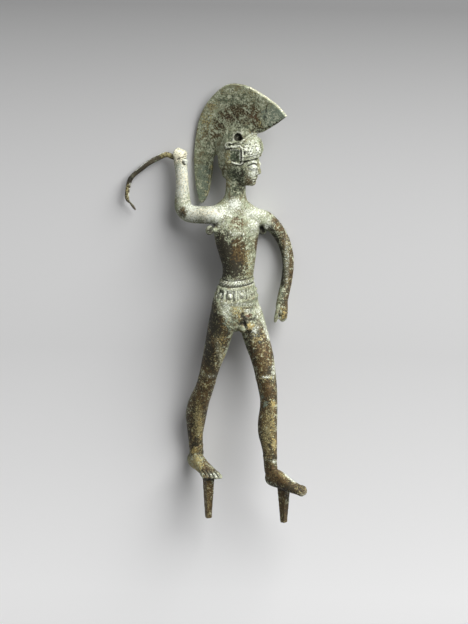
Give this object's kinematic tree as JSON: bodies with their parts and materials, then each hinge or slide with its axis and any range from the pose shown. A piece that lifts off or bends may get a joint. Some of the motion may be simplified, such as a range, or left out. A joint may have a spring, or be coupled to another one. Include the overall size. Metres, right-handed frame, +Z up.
{
  "type": "bronze warrior statuette",
  "caption": "Solid bronze figure of a striding nude warrior in a tall-crested helmet, a bent broken spear in the raised fist and a tang under each foot.",
  "frame": {"origin": "centre of the bounding box, on the surface that the figure lies on", "axes": "+Y from the feet towards the crest, +X towards the figure's lowered left arm, +Z up from the surface"},
  "size_m": [0.0908, 0.2202, 0.0449],
  "materials": {
    "patinated_bronze": "matt green, grey and brown patina",
    "dark_bronze": "dark brown-black patina"
  },
  "bodies": {
    "root": {"warrior_figure": "patinated_bronze", "spear_shaft": "dark_bronze"}
  },
  "joints": []
}
